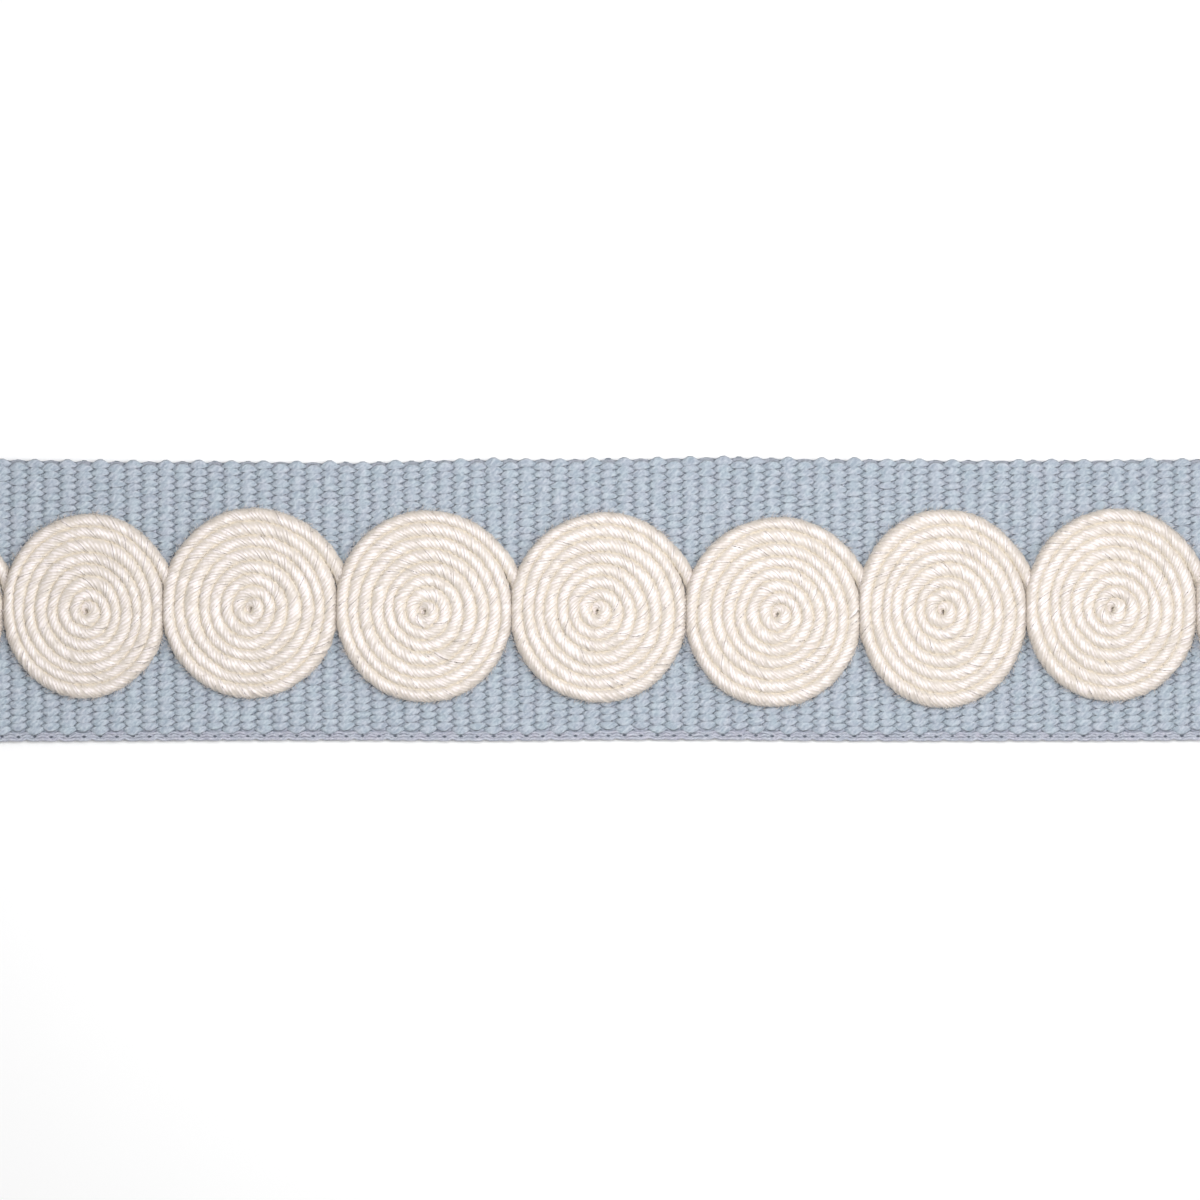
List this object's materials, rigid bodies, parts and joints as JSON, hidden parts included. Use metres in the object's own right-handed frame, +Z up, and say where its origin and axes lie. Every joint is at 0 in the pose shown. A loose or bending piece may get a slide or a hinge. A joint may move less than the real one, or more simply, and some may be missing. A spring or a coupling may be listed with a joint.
{
  "type": "tape trim",
  "caption": "Flat ribbed webbing tape with a row of flat coiled discs of twisted cord sewn along its middle, edge to edge.",
  "frame": {"origin": "middle of the tape's underside, on the surface it rests on", "axes": "+X along the tape, +Y across it towards the side where the cord ends tuck in, +Z up out of the face with the coils"},
  "size_m": [0.2916, 0.0516, 0.0043],
  "materials": {
    "ribbed_tape": "matte ribbed cotton webbing, dusty blue",
    "twisted_cord": "shiny twisted viscose cord, cream"
  },
  "bodies": {
    "root": {"tape": "ribbed_tape", "coil_1": "twisted_cord", "coil_2": "twisted_cord", "coil_3": "twisted_cord", "coil_4": "twisted_cord", "coil_5": "twisted_cord", "coil_6": "twisted_cord", "coil_7": "twisted_cord", "coil_8": "twisted_cord", "coil_9": "twisted_cord"}
  },
  "joints": []
}
